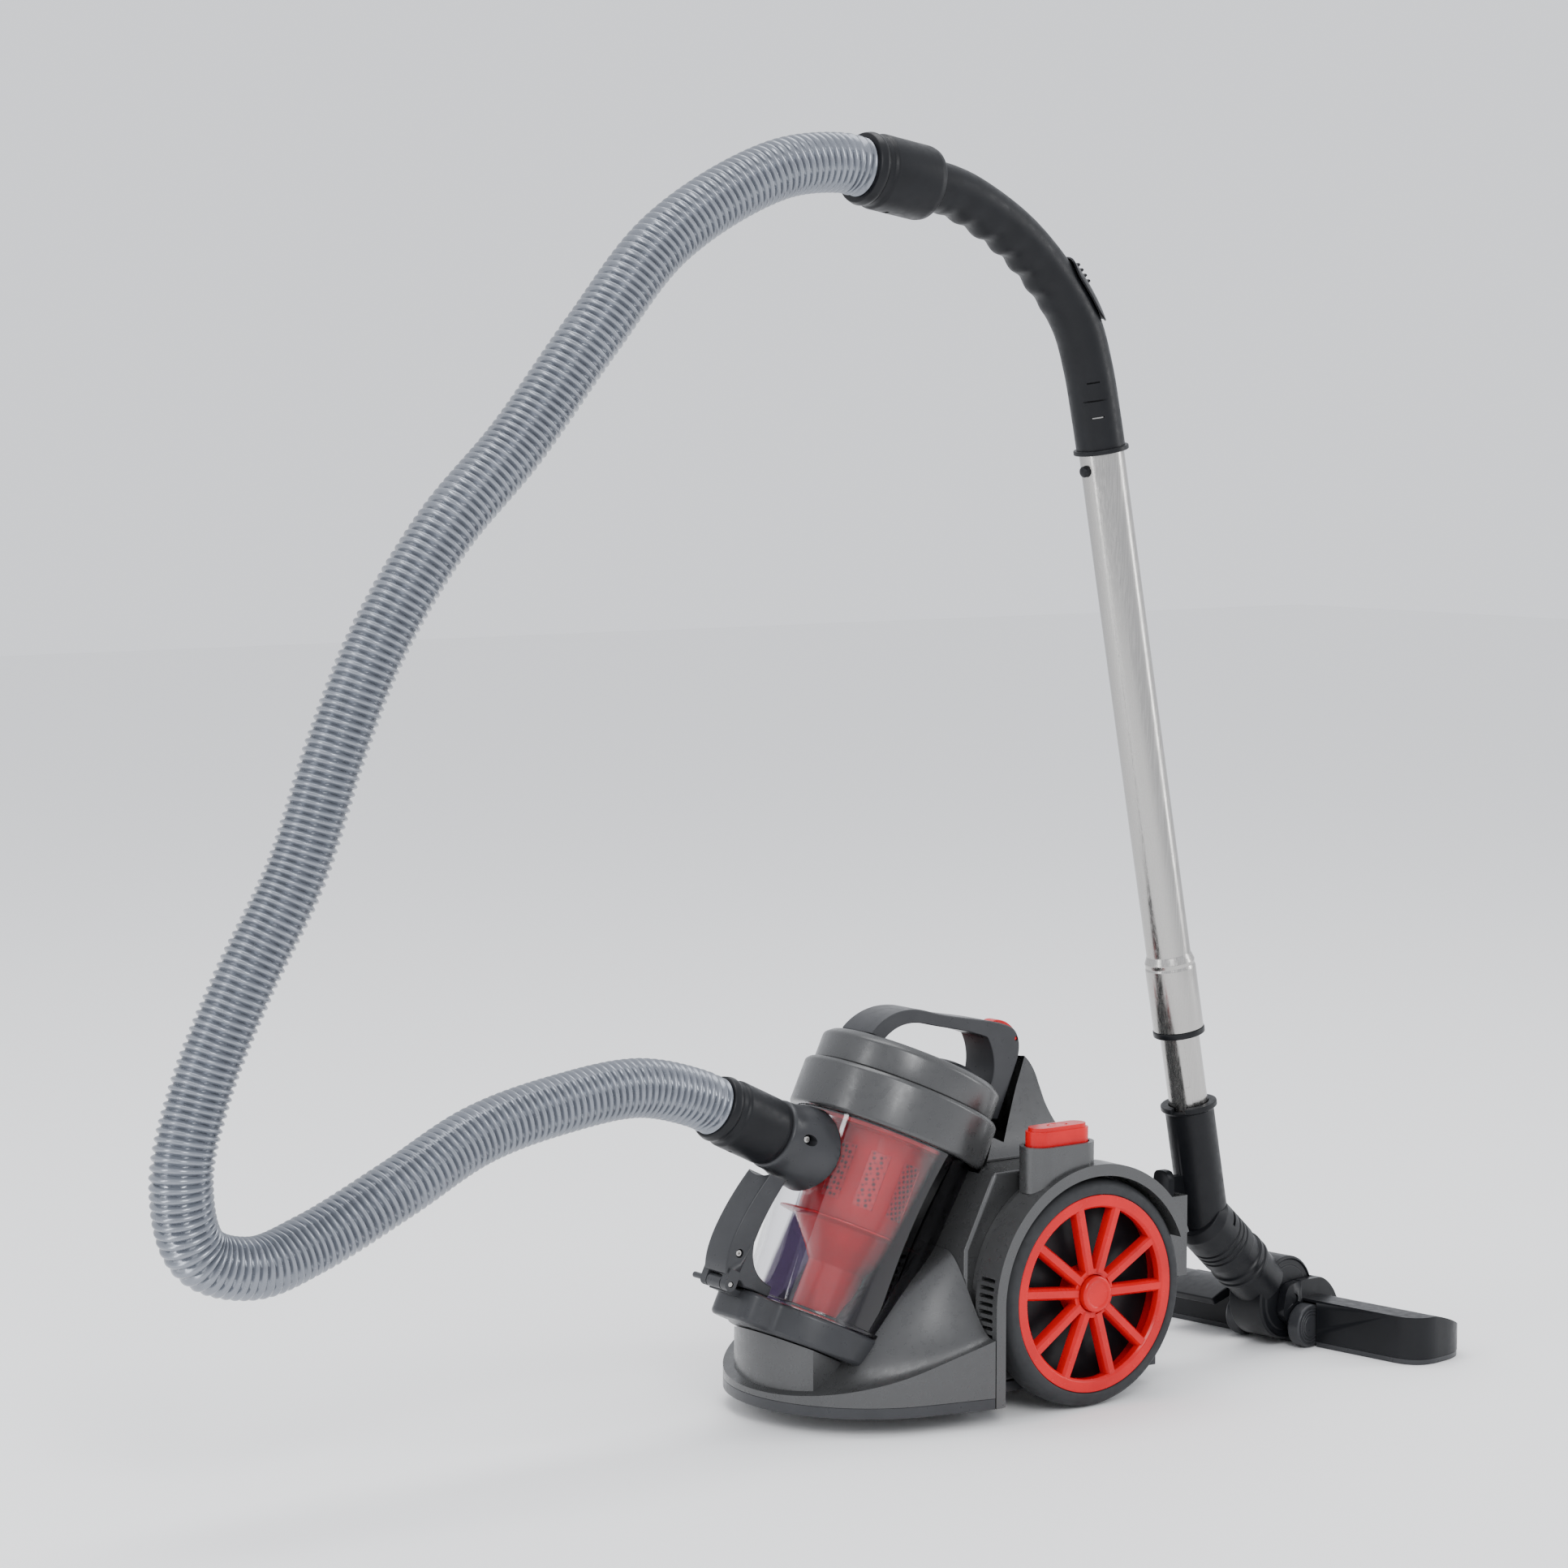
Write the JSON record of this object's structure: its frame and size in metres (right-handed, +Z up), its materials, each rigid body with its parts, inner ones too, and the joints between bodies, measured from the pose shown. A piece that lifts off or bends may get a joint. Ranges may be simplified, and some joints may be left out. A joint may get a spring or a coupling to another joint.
{
  "type": "canister vacuum cleaner",
  "caption": "Bagless canister vacuum cleaner on wheels with a clear dust container, ribbed hose, telescopic steel wand and floor head, parked upright.",
  "frame": {"origin": "on the floor under the middle of the machine, wand and head, the hose left out", "axes": "+Z up, -X towards the front of the machine, where the hose leaves the dust container"},
  "size_m": [1.1036, 0.2916, 0.9603],
  "materials": {
    "gunmetal": "satin metallic dark grey moulded plastic",
    "dark_grey": "dark grey moulded plastic, soft gloss",
    "black": "black moulded plastic, soft gloss",
    "red": "glossy red moulded plastic",
    "clear": "clear polycarbonate",
    "smoke_red": "tinted red plastic",
    "tyre": "matte grey rubber",
    "steel": "brushed stainless tube",
    "motor": "cast motor case",
    "copper": "motor windings and fan",
    "hose_grey": "ribbed flexible hose, silver grey"
  },
  "bodies": {
    "root": {"base_tray": "gunmetal", "deck": "gunmetal", "rear_housing": "gunmetal", "tower": "gunmetal", "arch_right": "gunmetal", "arch_left": "gunmetal", "parking_bracket": "gunmetal", "exhaust_grille": "dark_grey", "cord_outlet": "black", "motor_housing": "motor", "axle_right": "steel", "axle_left": "steel", "neck": "black", "inner_tube": "steel", "elbow": "black", "hose": "hose_grey"},
    "bin": {"container": "clear", "inlet_elbow": "dark_grey", "inlet_screw": "steel", "front_strut": "black", "strut_screw": "steel", "cyclone_cone": "smoke_red", "mesh_shroud": "smoke_red", "lid_pin": "steel"},
    "lid": {"bottom_lid": "dark_grey"},
    "cap": {"cap_lower": "gunmetal", "cap_upper": "gunmetal", "filter_dome": "dark_grey", "carry_handle": "dark_grey", "release_pin": "red"},
    "release": {"release_button": "red"},
    "lower_swivel": {"lower_cuff": "black", "lower_nut": "black"},
    "motor": {"motor_rotor": "copper"},
    "reel": {"cord_reel": "black"},
    "power": {"power_button": "red"},
    "rewind": {"rewind_button": "red"},
    "wheel_right": {"tyre_right": "tyre", "rim_right": "red", "hub_cap_right": "red"},
    "wheel_left": {"tyre_left": "tyre", "rim_left": "red", "hub_cap_left": "red"},
    "caster": {"caster_fork": "dark_grey", "caster_axle": "steel"},
    "caster_roller": {"caster_wheel": "tyre"},
    "upper_wand": {"outer_tube": "steel", "sleeve_ring": "black", "grip": "black"},
    "snap": {"snap_button": "black"},
    "slider": {"air_slider": "black"},
    "upper_swivel": {"upper_cuff": "black", "upper_nut": "black"},
    "yoke": {"yoke": "black"},
    "nozzle": {"nozzle_cover": "black", "sole_plate": "dark_grey"},
    "rollers": {"roller_near": "dark_grey", "roller_far": "dark_grey"},
    "pedal": {"pedal": "black"},
    "brush": {"brush_strip": "black"}
  },
  "joints": [
    {"name": "bin_lift", "type": "slide", "parent": "root", "child": "bin", "axis": [0.4384, 0, 0.8988], "range_m": [0, 0.26], "deforming": ["hose"]},
    {"name": "lid_hinge", "type": "hinge", "parent": "bin", "child": "lid", "pos_m": [-0.30627, 0.02483, 0.11248], "axis": [0, 1, 0], "range_deg": [0, 70]},
    {"name": "cap_twist", "type": "hinge", "parent": "bin", "child": "cap", "pos_m": [-0.21461, 0.02483, 0.07], "axis": [0.4384, 0, 0.8988], "range_deg": [0, 15]},
    {"name": "release_press", "type": "hinge", "parent": "cap", "child": "release", "pos_m": [-0.03189, 0.02483, 0.27127], "axis": [0, -1, 0], "range_deg": [0, 6], "stiffness_Nm_per_rad": 0.2},
    {"name": "lower_cuff_turn", "type": "hinge", "parent": "bin", "child": "lower_swivel", "pos_m": [-0.25767, 0.02483, 0.21895], "axis": [-0.8988, 0, 0.4384], "continuous": true},
    {"name": "wheel_right_roll", "type": "hinge", "parent": "root", "child": "wheel_right", "pos_m": [-0.03661, 0.02483, 0.088], "axis": [0, 1, 0], "continuous": true},
    {"name": "wheel_left_roll", "type": "hinge", "parent": "root", "child": "wheel_left", "pos_m": [-0.03661, 0.02483, 0.088], "axis": [0, 1, 0], "continuous": true},
    {"name": "caster_turn", "type": "hinge", "parent": "root", "child": "caster", "pos_m": [-0.23611, 0.02483, 0], "axis": [0, 0, 1], "continuous": true},
    {"name": "caster_roll", "type": "hinge", "parent": "caster", "child": "caster_roller", "pos_m": [-0.22811, 0.02483, 0.012], "axis": [0, 1, 0], "continuous": true},
    {"name": "motor_spin", "type": "hinge", "parent": "root", "child": "motor", "pos_m": [-0.02461, 0.02483, 0.092], "axis": [1, 0, 0], "continuous": true},
    {"name": "reel_turn", "type": "hinge", "parent": "root", "child": "reel", "pos_m": [-0.00261, 0.09083, 0.098], "axis": [0, 1, 0], "continuous": true},
    {"name": "power_press", "type": "slide", "parent": "root", "child": "power", "axis": [0, 0, -1], "range_m": [0, 0.004], "stiffness_N_per_m": 300},
    {"name": "rewind_press", "type": "slide", "parent": "root", "child": "rewind", "axis": [0, 0, -1], "range_m": [0, 0.004], "stiffness_N_per_m": 300},
    {"name": "telescope", "type": "slide", "parent": "root", "child": "upper_wand", "axis": [-0.184, 0, 0.9829], "range_m": [0, 0.35], "deforming": ["hose"]},
    {"name": "snap_press", "type": "slide", "parent": "upper_wand", "child": "snap", "axis": [0.9829, 0, 0.184], "range_m": [0, 0.003], "stiffness_N_per_m": 500},
    {"name": "air_slide", "type": "slide", "parent": "upper_wand", "child": "slider", "axis": [0.6508, 0, -0.7593], "range_m": [-0.006, 0.006]},
    {"name": "upper_cuff_turn", "type": "hinge", "parent": "upper_wand", "child": "upper_swivel", "pos_m": [-0.15011, -0.02217, 0.92449], "axis": [-0.9866, 0, 0.1633], "continuous": true},
    {"name": "head_swivel", "type": "hinge", "parent": "root", "child": "yoke", "pos_m": [0.22443, -0.01023, 0.03873], "axis": [-0.7586, -0.1066, 0.6428], "range_deg": [-25, 25]},
    {"name": "head_tilt", "type": "hinge", "parent": "yoke", "child": "nozzle", "pos_m": [0.22443, -0.01023, 0.03873], "axis": [0.1392, -0.9903, 0], "range_deg": [-5, 45]},
    {"name": "roller_turn", "type": "hinge", "parent": "nozzle", "child": "rollers", "pos_m": [0.23037, -0.00939, 0.0175], "axis": [-0.1392, 0.9903, 0], "continuous": true},
    {"name": "pedal_press", "type": "hinge", "parent": "nozzle", "child": "pedal", "pos_m": [0.23334, -0.00897, 0.04], "axis": [0.1392, -0.9903, 0], "range_deg": [0, 8]},
    {"name": "brush_drop", "type": "slide", "parent": "nozzle", "child": "brush", "axis": [0, 0, -1], "range_m": [0, 0.0034]}
  ],
  "couplings": [
    {"joint": "lid_hinge", "follows": "bin_lift", "rad_per_m": 4.65},
    {"joint": "brush_drop", "follows": "pedal_press", "m_per_rad": 0.0215}
  ]
}
